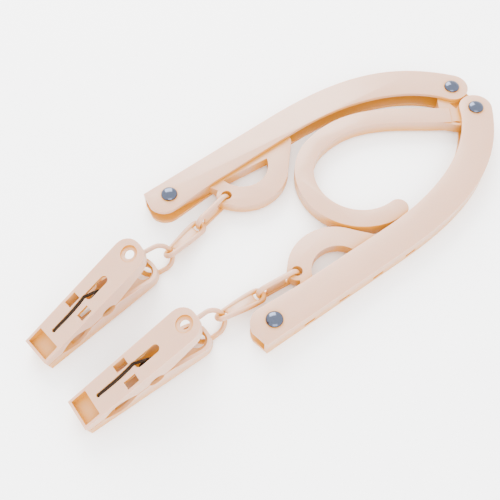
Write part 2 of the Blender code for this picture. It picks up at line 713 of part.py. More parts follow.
def half_mesh_steps(half, hole):
    """Cuts that turn the solid outline into a moulded half; hole is the radius in its handle."""
    deep = 40 * MM
    joined(half, plate("plan", half_plan_outline(), -deep, deep), "INTERSECT")
    back = -CLIP_JAW + 12 * MM
    room = [(back, -deep), (back, outer_height(back) - CLIP_SKIN),
            (CLIP_HANDLE + deep, outer_height(CLIP_HANDLE + deep) - CLIP_SKIN),
            (CLIP_HANDLE + deep, -deep)]
    hollow = piece_cutter("hollow", side_plate("hollow", room, deep), half)
    clip_plan = plate("hollow_plan", half_plan_outline(CLIP_WALL), -2 * deep, 2 * deep)
    joined(hollow, clip_plan, "INTERSECT")
    recess = [(-CLIP_JAW + 1.1 * MM, JAW_PAD), (-CLIP_JAW + 7.9 * MM, JAW_PAD),
              (-CLIP_JAW + 7.9 * MM, deep), (-CLIP_JAW + 1.1 * MM, deep)]
    cut(half, side_plate("jaw_recess", recess, JAW_WIDTH / 2 - JAW_RIM))
    for name, sign in (("left", -1), ("right", 1)):
        x, y = sign * 4.0 * MM, -CLIP_JAW + 24.4 * MM
        cut(half, box(f"window_{name}", (x - 1.7 * MM, y - 2.7 * MM, 3 * MM),
                      (x + 1.7 * MM, y + 2.7 * MM, deep)))
    slot_half = SLOT_HALF
    slot = (arc((0, -COIL_BACK + SLOT_SPAN[1] - slot_half), slot_half, 0, math.pi, 8)
            + arc((0, -COIL_BACK + SLOT_SPAN[0] + slot_half), slot_half, math.pi, 2 * math.pi, 8))
    cut(half, plate("spring_slot", slot, -deep, deep))
    hole_y = CLIP_HANDLE - HOLE_INSET
    cut(half, peg("handle_hole", (0, hole_y), hole, -deep, deep, 28))
    if hole < CLIP_HOLE:
        cut(half, peg("handle_dish", (0, hole_y), CLIP_HOLE + 0.3 * MM, outer_height(hole_y) - HOLE_DISH,
                      deep, 28))
    leg = [point for point in upper_leg() if point[2] > outer_height(point[1]) - SPRING_WIRE]
    cut(half, rod("leg_groove", leg, SPRING_WIRE + GAP))
    tip_y = -COIL_BACK - LEG_LENGTH
    cut(half, peg("tip_hole", (-0.7 * LEG_SIDE, tip_y), SPRING_WIRE + GAP, outer_height(tip_y) - 2.4 * MM,
                  deep, 16))


def piece_cutter(name, mesh, target):
    """A cutter that can have modifiers of its own."""
    cut(target, mesh)
    return target.modifiers[-1].object


def upper_leg():
    """From the coil up through the slot, along the outer face and down into the tip's hole."""
    tip_y = -COIL_BACK - LEG_LENGTH
    back = -COIL_BACK + COIL_RADIUS
    tip_top = outer_height(tip_y) + LEG_SINK
    crest = outer_height(back - 3 * MM) + LEG_SINK
    knots = [(COIL_HALF, back, 1.0 * MM), (1.2 * MM, back, 3 * MM), (LEG_SIDE, back, 4.6 * MM),
             (LEG_SIDE, back - 0.3 * MM, crest - 1.5 * MM), (LEG_SIDE, back - 1.1 * MM, crest - 0.3 * MM),
             (0.5 * LEG_SIDE, back - 2.3 * MM, crest)]
    across = ((-0.6, -4.6), (-1.4, -6.2), (-1.0, -9.0), (-0.6, -15.0))
    for side, along in across:
        y = back + along * MM
        knots.append((side * LEG_SIDE, y, outer_height(y) + LEG_SINK))
    end = -0.7 * LEG_SIDE
    knots += [(end, tip_y + 1.0 * MM, tip_top), (end, tip_y, tip_top - 0.7 * MM),
              (end, tip_y, tip_top - 1.5 * MM)]
    return smooth(knots, 3)


def spring_line():
    """Lower tip, lower leg, coil, upper leg, upper tip: the same after half a turn about Y."""
    upper = upper_leg()
    lower = [(-x, y, -z) for x, y, z in upper[::-1]]
    steps = 16 * COIL_TURNS
    coil = []
    for i in range(steps + 1):
        share = i / steps
        a = 2 * math.pi * COIL_TURNS * share
        coil.append((-COIL_HALF + 2 * COIL_HALF * share, -COIL_BACK + COIL_RADIUS * math.cos(a),
                     COIL_RADIUS * math.sin(a)))
    return lower + coil + upper


def clip_tilt():
    """The lower outer face rises from the jaw tip to the ring, and the middle plane above it."""
    reach = CLIP_JAW + CLIP_HANDLE - HOLE_INSET
    return math.asin(CLIP_LIFT / reach) + CLIP_SLOPE


def build_clip(side, ring):
    turn = heading(side, 3) - heading(side, 2)
    seat = bpy.data.objects.new(f"clip_seat_{side}", None)
    PARTS.objects.link(seat)
    seat.parent = ring
    seat.location = below(RING_REACH)
    seat.rotation_euler = (0, 0, turn)
    tilt = clip_tilt()
    hole_y = CLIP_HANDLE - HOLE_INSET
    # the hole's centre on the lower outer face, in the clip's own frame, then turned by the tilt
    hole = Matrix.Rotation(tilt, 4, "X") @ Vector((0, hole_y, -outer_height(hole_y)))
    pivot = (0, -hole.y, CLIP_LIFT + 0.06 * MM - hole.z)
    halves = {}
    for name, roll, hole_radius in (("lower", math.pi, CLIP_HOLE), ("upper", 0.0, UPPER_HOLE)):
        half = piece(f"clip_{name}_{side}", side_plate("clip_half", half_side_outline(), 10 * MM),
                     PLASTIC, seat, pivot)
        half.rotation_euler = (Matrix.Rotation(tilt, 3, "X") @ Matrix.Rotation(roll, 3, "Y")).to_euler()
        half_mesh_steps(half, hole_radius)
        halves[name] = half
    piece(f"clip_spring_{side}", rod("clip_spring", spring_line(), SPRING_WIRE), BRONZE, seat, pivot,
          (tilt, 0, 0))
    return halves


# ---------------------------------------------------------------- assembly

def build():
    root = bpy.data.objects.new("hanger", None)
    PARTS.objects.link(root)
    root.location = (*HUB_AT, 0)
    build_hook(root)
    for side in ("a", "b"):
        flip = -1 if side == "a" else 1
        arm = build_arm(side, root)
        build_rivet(f"hub_rivet_{side}", root, (flip * HUB_HALF, 0, 0))
        build_rivet(f"end_rivet_{side}", arm, (flip * (END_HALF - HUB_HALF), -ARM_LENGTH, 0))
        bracket = build_bracket(side, arm)
        ring = build_chain(side, bracket)
        build_clip(side, ring)


clear_scene()
PARTS = collection("folding_clip_hanger")
CUTTERS = collection("cutters")
build()
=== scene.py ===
"""Folding travel hanger with two spring clips: the finished look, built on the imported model.

Every moulded part is its own solid with its edges rounded, and the links, springs and rivets are
surfaces worked out with numpy.
"""
import json
import math

import bmesh
import bpy
import numpy as np
from bpy.props import FloatProperty, FloatVectorProperty, IntProperty, PointerProperty
from mathutils import Matrix, Vector


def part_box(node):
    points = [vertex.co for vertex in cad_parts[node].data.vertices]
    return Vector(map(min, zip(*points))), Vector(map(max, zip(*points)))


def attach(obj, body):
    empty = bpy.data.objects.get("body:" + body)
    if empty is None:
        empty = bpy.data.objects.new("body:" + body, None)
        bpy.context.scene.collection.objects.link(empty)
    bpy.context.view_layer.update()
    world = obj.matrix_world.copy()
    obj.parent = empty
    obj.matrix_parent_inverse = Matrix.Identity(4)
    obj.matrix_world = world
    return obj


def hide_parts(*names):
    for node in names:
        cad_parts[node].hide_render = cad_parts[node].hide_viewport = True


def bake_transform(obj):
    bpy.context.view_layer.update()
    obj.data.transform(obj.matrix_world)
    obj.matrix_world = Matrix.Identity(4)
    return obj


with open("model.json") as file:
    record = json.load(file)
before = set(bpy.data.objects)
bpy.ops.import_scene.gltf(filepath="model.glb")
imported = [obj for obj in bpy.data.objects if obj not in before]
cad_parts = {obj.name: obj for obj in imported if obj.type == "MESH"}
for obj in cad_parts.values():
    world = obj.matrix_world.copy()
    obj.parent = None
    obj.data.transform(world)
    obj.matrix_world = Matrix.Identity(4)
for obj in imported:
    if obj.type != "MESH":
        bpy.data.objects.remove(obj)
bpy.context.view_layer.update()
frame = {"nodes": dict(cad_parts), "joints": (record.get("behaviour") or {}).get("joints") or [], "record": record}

bl_info = {
    "name": "Folding clip hanger",
    "version": (1, 0, 0),
    "blender": (4, 5, 0),
    "location": "3D View > Sidebar > Hanger",
    "description": "Builds the finished surfaces of a folding clothes hanger with two spring clips",
    "category": "Add Mesh",
}

MM = 0.001
SIDES = ("a", "b")
JOINTS = {joint["name"]: joint for joint in frame["joints"]}

SHARP_ANGLE = math.radians(32)   # mouldings are rounded and shaded hard past this angle
FLAT_ANGLE = math.radians(0.6)   # faces closer than this are one face
OPEN_SKY, DEEP_SKY = 0.985, 0.58  # how open a surface is where the painted hollow shade and glow start and are full
CLIP_TILT = math.radians(11.05)  # slope of the plane between a clip's halves
FACE_SLOPE = math.radians(8.4)   # slope of a half's outer face to that plane
FACE_HEIGHT, FACE_FROM = 4.0 * MM, -36.8 * MM  # its height at the jaw's end, and where that is


def length(name, description, default, **more):
    return FloatProperty(name=name, description=description, default=default, min=0.0, unit="LENGTH",
                         precision=5, **more)


def colour(name, description, default):
    return FloatVectorProperty(name=name, description=description, default=default, size=4,
                               min=0.0, max=1.0, subtype="COLOR")


# ---------------------------------------------------------------- sizes and colours

class HANGER_PG_moulding(bpy.types.PropertyGroup):
    """Edges and colour of the moulded parts, with the painted shade and glow of their hollows."""
    edge: length("Edge radius", "Rounding of the moulded edges", 0.32 * MM)
    edge_steps: IntProperty(name="Edge steps", description="Segments across a rounded edge",
                            default=2, min=1, max=4)
    face: colour("Plastic", "Colour of the plastic on open faces", (0.46, 0.262, 0.17, 1.0))
    # painted shade and glow: the plastic is mixed toward this orange where hollows, corners and the floor shut out
    # the light, and glows with it there
    deep: colour("Plastic, deep", "Colour that the plastic takes in hollows and corners",
                 (0.42, 0.165, 0.006, 1.0))
    # reach of the ambient occlusion that finds where the painted shade and glow go
    reach: length("Glow reach", "How far a hollow's warm colour reaches", 8.0 * MM)


class HANGER_PG_chain(bpy.types.PropertyGroup):
    """Sizes of the three links on each side."""
    first_wire: length("First link's wire", "Half the first link's thickness", 0.75 * MM)
    first_wide: FloatProperty(name="First link's breadth", description="Breadth over thickness",
                              default=1.6, min=1.0)
    middle_wire: length("Middle link's wire", "Radius of the middle link's section", 1.15 * MM)
    ring_wire: length("Ring's wire", "Radius of the ring's section", 1.05 * MM)
    web: length("Web", "Thickness of the web inside the first two links", 1.3 * MM)
    first_height: length("First link's height", "Half height at the wire's centre", 3.65 * MM)
    middle_half: length("Middle link's width", "Half width at the wire's centre", 2.7 * MM)
    ring_half: length("Ring's width", "Half width at the wire's centre", 5.7 * MM)
    ring_tilt: FloatProperty(name="Ring's tilt", description="How far the ring leans on its side",
                             default=math.radians(50), subtype="ANGLE")
    play: length("Play", "Gap between links", 0.3 * MM)


class HANGER_PG_metal(bpy.types.PropertyGroup):
    """Rivets and springs."""
    head: length("Rivet head", "Radius of the rivet's domed head", 3.6 * MM)
    dome: length("Rivet dome", "Height of the rivet's dome", 1.7 * MM)
    wire: length("Spring wire", "Radius of the spring's wire", 0.6 * MM)
    steel: colour("Steel", "Colour of the polished rivets", (0.06, 0.07, 0.10, 1.0))
    bronze: colour("Spring", "Colour of the spring's wire", (0.018, 0.011, 0.007, 1.0))


class HANGER_PG_stage(bpy.types.PropertyGroup):
    """Floor, light and camera."""
    floor: colour("Floor", "Colour of the floor", (0.97, 0.97, 0.97, 1.0))
    key: FloatProperty(name="Main light", description="Power of the large soft light",
                       default=36.0, min=0.0, unit="POWER")
    fill: FloatProperty(name="Second light", description="Power of the light on the other side",
                        default=14.0, min=0.0, unit="POWER")
    sky: FloatProperty(name="Room light", description="Strength of the even light from all round",
                       default=4.3, min=0.0)
    lens: FloatProperty(name="Lens", description="Focal length on a 36 mm sensor", default=52.92,
                        min=10.0)


# ---------------------------------------------------------------- surfaces

def grid_mesh(name, rings, closed_along, closed_across=True):
    """Mesh of an array of shape (along, across, 3).

    Each cell of the grid is one face. The last row meets the first where the surface closes on itself,
    and an open end gets a cap."""
    along, across = rings.shape[:2]
    rows = np.arange(along if closed_along else along - 1)
    cols = np.arange(across if closed_across else across - 1)
    i, j = (part.ravel() for part in np.meshgrid(rows, cols, indexing="ij"))
    up, side = (i + 1) % along, (j + 1) % across
    quads = np.stack([i * across + j, i * across + side, up * across + side, up * across + j], axis=1)
    faces = quads.tolist()
    if not closed_along and closed_across:
        faces.append(np.arange(across)[::-1].tolist())
        faces.append(((along - 1) * across + np.arange(across)).tolist())
    mesh = bpy.data.meshes.new(name)
    mesh.from_pydata(rings.reshape(-1, 3).tolist(), [], faces)
    outwards(mesh)
    return mesh


def outwards(mesh):
    """Turns every face of a closed mesh outwards and shades it smooth."""
    work = bmesh.new()
    work.from_mesh(mesh)
    bmesh.ops.remove_doubles(work, verts=work.verts, dist=1e-7)
    bmesh.ops.recalc_face_normals(work, faces=work.faces)
    if work.calc_volume(signed=True) < 0:
        bmesh.ops.reverse_faces(work, faces=work.faces)
    work.to_mesh(mesh)
    work.free()
    mesh.shade_smooth()


def tube(name, path, radius, side, closed, across=16, broad=1.0):
    """A round section carried along a path.

    At each point P with tangent T, the section is P + r (broad cos v N + sin v B), where N is the part
    of the side direction square to T and B = T x N. The radius may change along the path."""
    if closed:
        tangent = np.roll(path, -1, axis=0) - np.roll(path, 1, axis=0)
    else:
        tangent = np.gradient(path, axis=0)
    tangent /= np.linalg.norm(tangent, axis=1, keepdims=True)
    side = np.broadcast_to(np.asarray(side, dtype=float), path.shape)
    normal = side - np.sum(side * tangent, axis=1, keepdims=True) * tangent
    normal /= np.linalg.norm(normal, axis=1, keepdims=True)
    cross = np.cross(tangent, normal)
    v = np.linspace(0, 2 * math.pi, across, endpoint=False)[None, :, None]
    radius = np.broadcast_to(np.asarray(radius, dtype=float), (len(path),))[:, None, None]
    rings = path[:, None] + radius * (broad * np.cos(v) * normal[:, None] + np.sin(v) * cross[:, None])
    return grid_mesh(name, rings, closed)


def web_grid(start, end, half, thick, rows=40, cols=32):
    """Flat pad between two strands, as grids of distance along, across and square to it.

    Across is half cos v, with the square root of the sine as the outline of the thickness, so both
    faces are flat with round rims. Each end is hollowed by c squared, and the thickness falls to
    nothing there."""
    q = np.linspace(-1, 1, rows)[:, None]
    s = np.sin(q * math.pi / 2)
    v = np.linspace(0, 2 * math.pi, cols, endpoint=False)[None, :]
    c = np.cos(v)
    hollow = 0.9 * MM * c ** 2
    middle, reach = (start + end) / 2, abs(end - start) / 2 + hollow
    along = middle + s * reach
    rim = np.sign(np.sin(v)) * np.abs(np.sin(v)) ** 0.5
    square = thick / 2 * rim * np.sqrt(1 - np.abs(s) ** 10)
    return along, np.broadcast_to(half * c, along.shape), square


def merged(name, meshes):
    """One mesh from several closed ones."""
    work = bmesh.new()
    for mesh in meshes:
        work.from_mesh(mesh)
        bpy.data.meshes.remove(mesh)
    made = bpy.data.meshes.new(name)
    work.to_mesh(made)
    work.free()
    made.shade_smooth()
    return made


def turned_profile(name, centre, radii, heights, across=48):
    """A profile turned about a vertical axis: (r cos v, r sin v, z) for each point (r, z)."""
    v = np.linspace(0, 2 * math.pi, across, endpoint=False)[None, :]
    rings = np.stack([centre[0] + radii[:, None] * np.cos(v), centre[1] + radii[:, None] * np.sin(v),
                      np.broadcast_to(heights[:, None], (len(heights), across))], axis=2)
    return grid_mesh(name, rings, False)


def stadium(half_length, half_width, steps=96):
    """Points round an oval of two half circles and two straight sides, evenly spaced.

    With s the distance round, the first half circle runs for pi w, then a straight side for 2 (l - w),
    and the same again turned half round. Returns the distance along and across."""
    straight = half_length - half_width
    half = math.pi * half_width + 2 * straight
    s = np.linspace(0, 2 * half, steps, endpoint=False)
    local = s % half
    on_arc = local < math.pi * half_width
    angle = local / half_width
    along = np.where(on_arc, straight + half_width * np.sin(angle),
                     straight - (local - math.pi * half_width))
    across = np.where(on_arc, half_width * np.cos(angle), -half_width)
    turn = np.where(s < half, 1.0, -1.0)
    return along * turn, across * turn


def smooth_path(knots, steps):
    """Catmull-Rom curve through the knots: each span is a cubic in t of its four neighbours."""
    knots = np.asarray(knots, dtype=float)
    p = np.vstack([2 * knots[0] - knots[1], knots, 2 * knots[-1] - knots[-2]])
    a, b, c, d = p[:-3, None], p[1:-2, None], p[2:-1, None], p[3:, None]
    t = np.linspace(0, 1, steps, endpoint=False)[None, :, None]
    curve = 0.5 * (2 * b + (c - a) * t + (2 * a - 5 * b + 4 * c - d) * t ** 2
                   + (3 * b - a - 3 * c + d) * t ** 3)
    return np.vstack([curve.reshape(-1, 3), knots[-1:]])


# ---------------------------------------------------------------- materials

def painted_hollow_shade_glow():
    """Shared node group of painted shade and painted glow: the open colour turns to the deep one where ambient
    occlusion finds hollows, corners or the floor close by, and these places also glow faintly.
    """
    group = bpy.data.node_groups.get("painted_hollow_shade_glow")
    if group:
        return group
    group = bpy.data.node_groups.new("painted_hollow_shade_glow", "ShaderNodeTree")
    for name, kind in (("Open", "NodeSocketColor"), ("Deep", "NodeSocketColor"),
                       ("Reach", "NodeSocketFloat"), ("Cloud", "NodeSocketFloat")):
        group.interface.new_socket(name, in_out="INPUT", socket_type=kind)
    for name, kind in (("Color", "NodeSocketColor"), ("Glow", "NodeSocketColor")):
        group.interface.new_socket(name, in_out="OUTPUT", socket_type=kind)
    nodes, link = group.nodes, group.links.new
    given, out = nodes.new("NodeGroupInput"), nodes.new("NodeGroupOutput")
    # painted shade: ambient occlusion of the hollows, corners and the floor close by
    near = nodes.new("ShaderNodeAmbientOcclusion")
    near.samples = 12
    link(given.outputs["Reach"], near.inputs["Distance"])
    bend = nodes.new("ShaderNodeMapRange")
    bend.inputs["From Min"].default_value = OPEN_SKY
    bend.inputs["From Max"].default_value = DEEP_SKY
    link(near.outputs["AO"], bend.inputs["Value"])
    mix = nodes.new("ShaderNodeMix")
    mix.data_type = "RGBA"
    link(bend.outputs["Result"], mix.inputs["Factor"])
    link(given.outputs["Open"], mix.inputs[6])
    link(given.outputs["Deep"], mix.inputs[7])
    shade = nodes.new("ShaderNodeHueSaturation")
    link(mix.outputs[2], shade.inputs["Color"])
    level = nodes.new("ShaderNodeMapRange")
    level.inputs["To Min"].default_value = 0.95
    level.inputs["To Max"].default_value = 1.04
    link(given.outputs["Cloud"], level.inputs["Value"])
    link(level.outputs["Result"], shade.inputs["Value"])
    link(shade.outputs["Color"], out.inputs["Color"])
    # painted glow: the same mask feeds the deep colour into the emission, so hollows glow though they are no lamp
    glow = nodes.new("ShaderNodeMix")
    glow.data_type = "RGBA"
    glow.inputs[6].default_value = (0.0, 0.0, 0.0, 1.0)
    link(bend.outputs["Result"], glow.inputs["Factor"])
    link(given.outputs["Deep"], glow.inputs[7])
    link(glow.outputs[2], out.inputs["Glow"])
    return group


def moulded_plastic():
    """Pale pink translucent plastic: cloudy colour, painted shade and painted glow in its hollows, faint
    orange-peel skin.
    """
    made = bpy.data.materials.get("moulded_plastic")
    if made:
        return made
    look = bpy.context.scene.hanger_moulding
    made = bpy.data.materials.new("moulded_plastic")
    made.use_nodes = True
    nodes, link = made.node_tree.nodes, made.node_tree.links.new
    shader = nodes["Principled BSDF"]
    place = nodes.new("ShaderNodeTexCoord")
    cloud = nodes.new("ShaderNodeTexNoise")
    cloud.inputs["Scale"].default_value = 45.0
    cloud.inputs["Detail"].default_value = 3.0
    link(place.outputs["Object"], cloud.inputs["Vector"])
    # painted shade and glow: the colour turns deep orange in hollows, corners and near the floor
    warm = nodes.new("ShaderNodeGroup")
    warm.node_tree = painted_hollow_shade_glow()
    warm.inputs["Open"].default_value = look.face
    warm.inputs["Deep"].default_value = look.deep
    warm.inputs["Reach"].default_value = look.reach
    link(cloud.outputs["Fac"], warm.inputs["Cloud"])
    link(warm.outputs["Color"], shader.inputs["Base Color"])
    rub = nodes.new("ShaderNodeTexNoise")
    rub.inputs["Scale"].default_value = 260.0
    rub.inputs["Detail"].default_value = 4.0
    link(place.outputs["Object"], rub.inputs["Vector"])
    gloss = nodes.new("ShaderNodeMapRange")
    gloss.inputs["To Min"].default_value = 0.30
    gloss.inputs["To Max"].default_value = 0.46
    link(rub.outputs["Fac"], gloss.inputs["Value"])
    link(gloss.outputs["Result"], shader.inputs["Roughness"])
    skin = nodes.new("ShaderNodeTexNoise")
    skin.inputs["Scale"].default_value = 1400.0
    skin.inputs["Detail"].default_value = 2.0
    link(place.outputs["Object"], skin.inputs["Vector"])
    bump = nodes.new("ShaderNodeBump")
    bump.inputs["Strength"].default_value = 0.10
    bump.inputs["Distance"].default_value = 0.00008
    link(skin.outputs["Fac"], bump.inputs["Height"])
    link(bump.outputs["Normal"], shader.inputs["Normal"])
    # painted glow: emission from the hollows, which are no lamp
    link(warm.outputs["Glow"], shader.inputs["Emission Color"])
    shader.inputs["Emission Strength"].default_value = 0.55
    shader.inputs["Subsurface Weight"].default_value = 0.35
    shader.inputs["Subsurface Radius"].default_value = (1.0, 0.45, 0.22)
    shader.inputs["Subsurface Scale"].default_value = 0.0022
    shader.inputs["IOR"].default_value = 1.49
    shader.inputs["Coat Weight"].default_value = 0.12
    shader.inputs["Coat Roughness"].default_value = 0.18
    return made


def metal(name, tint, rough_low, rough_high, grain):
    """Metal with fine rubbing marks in its gloss and a slight unevenness."""
    made = bpy.data.materials.get(name)
    if made:
        return made
    made = bpy.data.materials.new(name)
    made.use_nodes = True
    nodes, link = made.node_tree.nodes, made.node_tree.links.new
    shader = nodes["Principled BSDF"]
    shader.inputs["Metallic"].default_value = 1.0
    place = nodes.new("ShaderNodeTexCoord")
    marks = nodes.new("ShaderNodeTexNoise")
    marks.inputs["Scale"].default_value = grain
    marks.inputs["Detail"].default_value = 5.0
    marks.inputs["Roughness"].default_value = 0.65
    link(place.outputs["Object"], marks.inputs["Vector"])
    gloss = nodes.new("ShaderNodeMapRange")
    gloss.inputs["To Min"].default_value = rough_low
    gloss.inputs["To Max"].default_value = rough_high
    link(marks.outputs["Fac"], gloss.inputs["Value"])
    link(gloss.outputs["Result"], shader.inputs["Roughness"])
    stain = nodes.new("ShaderNodeHueSaturation")
    stain.inputs["Color"].default_value = tint
    level = nodes.new("ShaderNodeMapRange")
    level.inputs["To Min"].default_value = 0.82
    level.inputs["To Max"].default_value = 1.12
    link(marks.outputs["Fac"], level.inputs["Value"])
    link(level.outputs["Result"], stain.inputs["Value"])
    link(stain.outputs["Color"], shader.inputs["Base Color"])
    bump = nodes.new("ShaderNodeBump")
    bump.inputs["Strength"].default_value = 0.12
    bump.inputs["Distance"].default_value = 0.00005
    link(marks.outputs["Fac"], bump.inputs["Height"])
    link(bump.outputs["Normal"], shader.inputs["Normal"])
    return made


def rivet_steel():
    return metal("rivet_steel_polished", bpy.context.scene.hanger_metal.steel, 0.07, 0.20, 900.0)


def spring_bronze():
    return metal("spring_wire_bronze", bpy.context.scene.hanger_metal.bronze, 0.16, 0.38, 1500.0)


# ---------------------------------------------------------------- pieces

def new_piece(name, mesh, finish, node):
    """Links the mesh as a piece that stands for a CAD node, gives it the finish and hides the node."""
    thing = bpy.data.objects.new(name, mesh)
    bpy.context.scene.collection.objects.link(thing)
    mesh.materials.clear()
    mesh.materials.append(finish)
    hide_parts(node)
    return thing


def body_of(node):
    bodies = frame["record"]["behaviour"]["bodies"]
    return next(body for body, nodes in bodies.items() if node in nodes)


def rounded_copy(node):
    """The node's solid, welded, with its flat faces made whole and its edges rounded."""
    look = bpy.context.scene.hanger_moulding
    mesh = frame["nodes"][node].data.copy()
    mesh.name = f"{node}_moulding"
    work = bmesh.new()
    work.from_mesh(mesh)
    bmesh.ops.remove_doubles(work, verts=work.verts, dist=2e-6)
    bmesh.ops.dissolve_limit(work, angle_limit=FLAT_ANGLE, verts=work.verts,
                            edges=work.edges)
    work.to_mesh(mesh)
    work.free()
    if mesh.has_custom_normals:
        mesh.attributes.remove(mesh.attributes["custom_normal"])
    mesh.shade_smooth()
    mesh.set_sharp_from_angle(angle=SHARP_ANGLE)
    piece = new_piece(f"{node}_moulding", mesh, moulded_plastic(), node)
    edge = piece.modifiers.new("rounded_edges", "BEVEL")
    edge.width = look.edge
    edge.segments = look.edge_steps
    edge.limit_method = "ANGLE"
    edge.angle_limit = SHARP_ANGLE
    edge.harden_normals = True
    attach(piece, body_of(node))
    return piece


def link_frame(side, first, second):
    """Start point, direction to the next joint, and the direction to its left."""
    start, end = joint_at(f"{first}_{side}"), joint_at(f"{second}_{side}")
    ahead = (end - start) * (1, 1, 0)
    reach = np.linalg.norm(ahead)
    ahead /= reach
    return start, reach, ahead, np.array([-ahead[1], ahead[0], 0.0])


def placed(start, ahead, left, along, across, lift):
    """Points at distances along a link, to its left and above the resting plane."""
    flat = start * (1, 1, 0) + along[..., None] * ahead + across[..., None] * left
    return flat + lift[..., None] * np.array([0.0, 0.0, 1.0])


def joint_at(name):
    return np.asarray(JOINTS[name]["pos_m"], dtype=float)


class HANGER_OT_mouldings(bpy.types.Operator):
    """Round the edges of the hook, the arms, the brackets and the clips"""
    bl_idname = "hanger.mouldings"
    bl_label = "Moulded parts"

    def execute(self, context):
        rounded_copy("hook")
        for side in SIDES:
            for part in ("arm", "bracket", "clip_lower", "clip_upper"):
                rounded_copy(f"{part}_{side}")
        return {"FINISHED"}


class HANGER_OT_chain(bpy.types.Operator):
    """Make the three links of each chain"""
    bl_idname = "hanger.chain"
    bl_label = "Chain links"

    def execute(self, context):
        size = context.scene.hanger_chain
        for side in SIDES:
            self.first(side, size)
            self.middle(side, size)
            self.ring(side, size)
        return {"FINISHED"}

    def link(self, name, side, meshes):
        mesh = merged(f"{name}_{side}_link", meshes)
        piece = new_piece(f"{name}_{side}_link", mesh, moulded_plastic(), f"{name}_{side}")
        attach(piece, f"{name}_{side}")

    def first(self, side, size):
        """Upright oval through the bracket's eye: distance along and height run round the oval."""
        start, reach, ahead, left = link_frame(side, "chain_drop", "chain_swing")
        inside = 0.55 * MM
        half = (reach + inside) / 2
        along, height = stadium(half, size.first_height, 160)
        middle = np.mean([corner[2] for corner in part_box(f"chain_first_{side}")])
        path = placed(start, ahead, left, along + half - inside, 0 * along, middle + height)
        loop = tube("loop", path, size.first_wire, left, True, 20, size.first_wide)
        web_end = reach - self.behind(size) - size.middle_wire - 2 * size.play
        along, across, square = web_grid(5.8 * MM, web_end, size.first_height, size.web)
        web = grid_mesh("web", placed(start, ahead, left, along, square, middle + across), False)
        self.link("chain_first", side, [loop, web])

    def middle(self, side, size):
        """Flat oval whose plane turns about its length, so its far end stands across the ring's wire.

        The turn grows evenly from a quarter of the way to seven eighths, and the height rises all
        the way."""
        start, reach, ahead, left = link_frame(side, "chain_swing", "ring_swing")
        behind = self.behind(size)
        half = (reach + behind + size.ring_wire + size.play + size.middle_wire) / 2
        low, high = 3.2 * MM, self.ring_height(size)

        def twisted(along, across, square):
            share = (along + behind) / (2 * half)
            turn = (math.pi / 2 - size.ring_tilt) * np.clip(1.6 * share - 0.4, 0, 1)
            lift = low + (high - low) * share + across * np.sin(turn) + square * np.cos(turn)
            aside = across * np.cos(turn) - square * np.sin(turn)
            return placed(start, ahead, left, along, aside, lift), turn

        along, across = stadium(half, size.middle_half, 160)
        path, turn = twisted(along + half - behind, across, 0 * along)
        plane = np.cos(turn)[:, None] * np.array([0, 0, 1.0]) - np.sin(turn)[:, None] * left
        loop = tube("loop", path, size.middle_wire, plane, True, 20)
        grids = web_grid(size.first_wire + 3 * size.play, reach - size.ring_wire - 3 * size.play,
                         size.middle_half, size.web)
        web = grid_mesh("web", twisted(*grids)[0], False)
        self.link("chain_middle", side, [loop, web])

    def ring(self, side, size):
        """Oval that leans on its side; its far end passes through the lower handle's hole."""
        start, reach, ahead, left = link_frame(side, "ring_swing", "clip_swing")
        high = self.ring_height(size)
        drop = (high - 3.25 * MM) / math.sin(size.ring_tilt)
        crossing = math.sqrt(size.ring_half ** 2 - drop ** 2)
        half = (reach + size.ring_half - crossing) / 2
        along, across = stadium(half, size.ring_half, 128)
        along = along + half
        aside = across * math.cos(size.ring_tilt) - drop * math.cos(size.ring_tilt) * along / reach
        path = placed(start, ahead, left, along, aside, high - across * math.sin(size.ring_tilt))
        square = math.sin(size.ring_tilt) * left + math.cos(size.ring_tilt) * np.array([0, 0, 1.0])
        self.link("chain_ring", side, [tube("loop", path, size.ring_wire, square, True, 20)])

    def behind(self, size):
        return size.first_wire + 2 * size.play + size.middle_wire

    def ring_height(self, size):
        return size.ring_half * math.sin(size.ring_tilt) + size.ring_wire + 0.02 * MM


class HANGER_OT_rivets(bpy.types.Operator):
    """Turn the four rivets, each with a domed head, a rim and a clinched tail"""
    bl_idname = "hanger.rivets"
    bl_label = "Rivets"

    def execute(self, context):
        size = context.scene.hanger_metal
        for side in SIDES:
            for name in (f"hub_rivet_{side}", f"end_rivet_{side}"):
                self.rivet(name, size)
        return {"FINISHED"}

    def rivet(self, name, size):
        """Head r = R sin a, z = top - D (1 - cos a), a rounded rim, the shank and the tail below."""
        low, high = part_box(name)
        centre = [(low[0] + high[0]) / 2, (low[1] + high[1]) / 2]
        a = np.linspace(0.02, math.pi / 2, 14)
        under = high[2] - size.dome
        shank, tail = 2.0 * MM, 0.55 * MM
        radii = np.concatenate([size.head * np.sin(a), [size.head - 0.12 * MM, shank, shank,
                                size.head - 0.55 * MM, size.head - 0.32 * MM,
                                size.head - 0.35 * MM, 0.05 * MM]])
        heights = np.concatenate([under + size.dome * np.cos(a),
                                  [under, under, low[2] + tail, low[2] + tail,
                                   low[2] + tail * 0.6, low[2], low[2]]])
        mesh = turned_profile(name + "_steel", centre, radii, heights)
        mesh.set_sharp_from_angle(angle=math.radians(50))
        piece = new_piece(name + "_steel", mesh, rivet_steel(), name)
        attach(piece, body_of(name))


